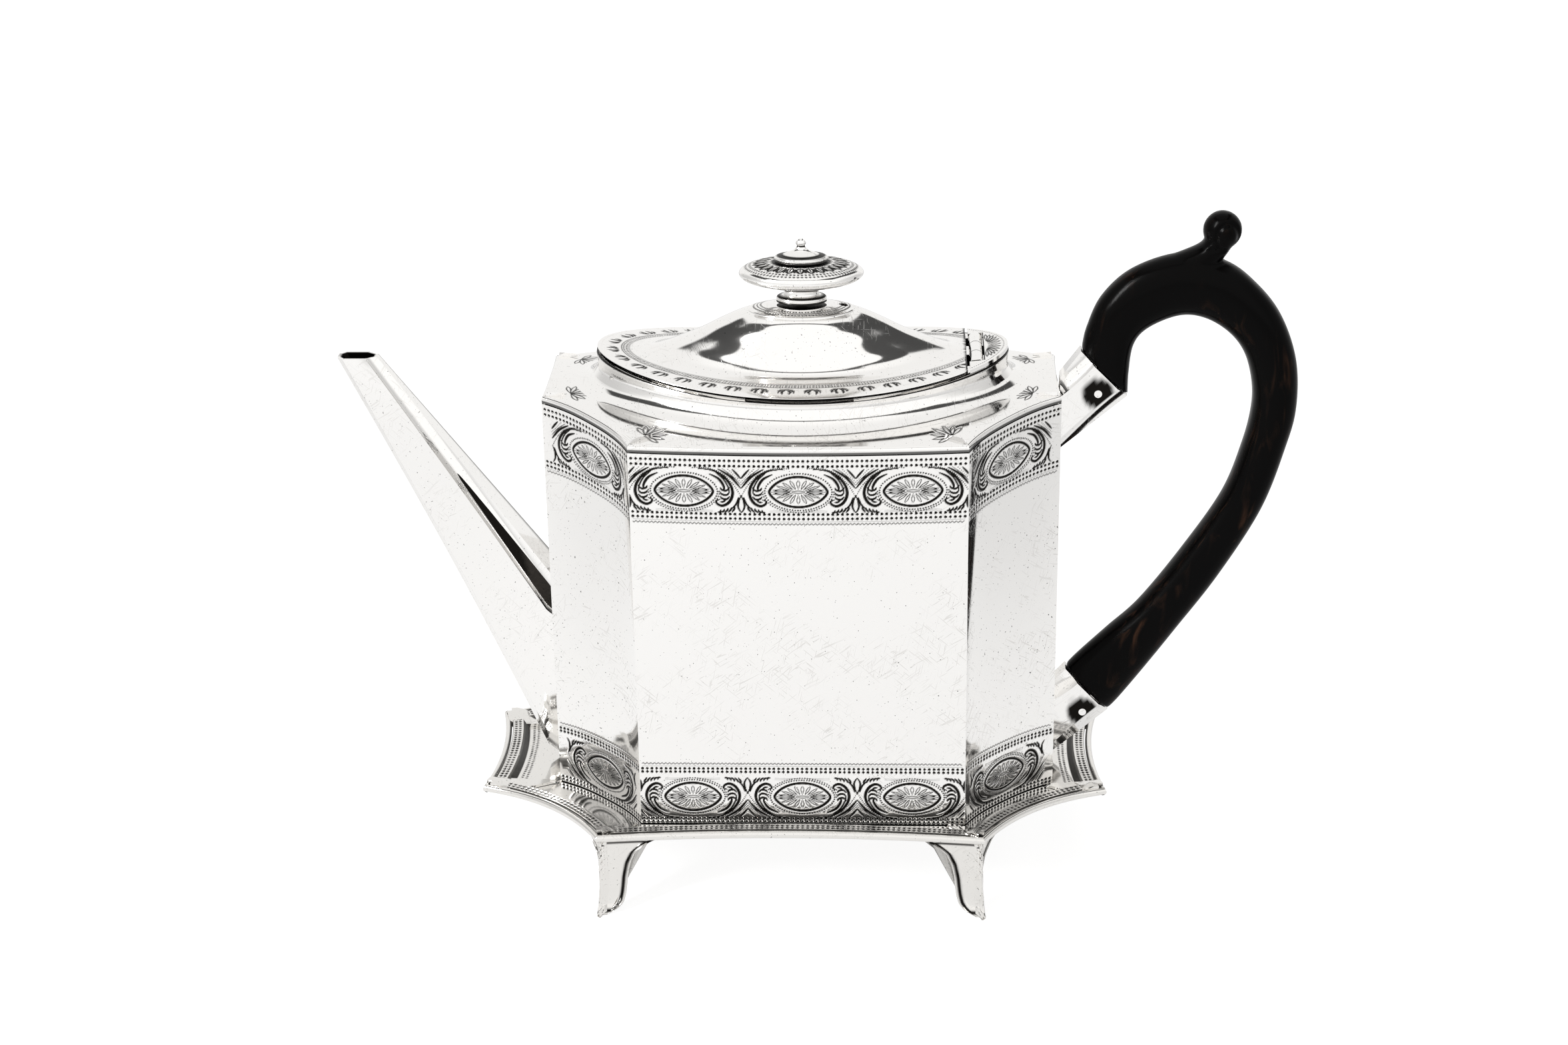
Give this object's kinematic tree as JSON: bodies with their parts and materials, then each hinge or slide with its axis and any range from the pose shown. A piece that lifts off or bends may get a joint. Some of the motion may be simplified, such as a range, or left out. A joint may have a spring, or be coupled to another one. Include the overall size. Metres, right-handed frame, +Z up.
{
  "type": "teapot",
  "caption": "Eight-sided silver teapot with straight spout, hinged domed lid, engraved bands and black wood loop handle, on a shallow footed stand that it lifts off.",
  "frame": {"origin": "on the table under the middle of the whole object, between the spout's tip and the handle's back", "axes": "+X from the spout towards the handle, +Y towards the back of the pot, +Z up. The spout is on -X, the handle on +X"},
  "size_m": [0.2665, 0.1078, 0.1887],
  "materials": {
    "silver": "polished",
    "silver_dull": "satin",
    "wood": "gloss"
  },
  "bodies": {
    "stand": {"stand_tray": "silver", "stand_rim_wire": "silver", "stand_foot_front_left": "silver", "stand_foot_front_right": "silver", "stand_foot_back_left": "silver", "stand_foot_back_right": "silver"},
    "teapot": {"body_wall": "silver", "body_base": "silver", "body_deck": "silver", "mouth_seat": "silver", "hinge_end_plate": "silver", "hinge_knuckle_front": "silver", "hinge_knuckle_back": "silver", "hinge_pin": "silver", "spout": "silver", "upper_socket": "silver", "lower_socket": "silver", "upper_handle_pin": "silver", "lower_handle_pin": "silver", "handle": "wood"},
    "lid": {"lid_shell": "silver", "lid_bezel": "silver", "hinge_knuckle_lid": "silver", "finial_plate": "silver", "finial_neck": "silver", "finial_disc": "silver", "finial_button": "silver", "finial_stud": "silver_dull", "finial_washer": "silver_dull", "finial_nut": "silver_dull"}
  },
  "joints": [
    {"name": "teapot_lift", "type": "slide", "parent": "stand", "child": "teapot", "axis": [0, 0, 1], "range_m": [0, 0.08]},
    {"name": "lid_hinge", "type": "hinge", "parent": "teapot", "child": "lid", "pos_m": [0.0443, 0, 0.14846], "axis": [0, 1, 0], "range_deg": [0, 100]}
  ]
}
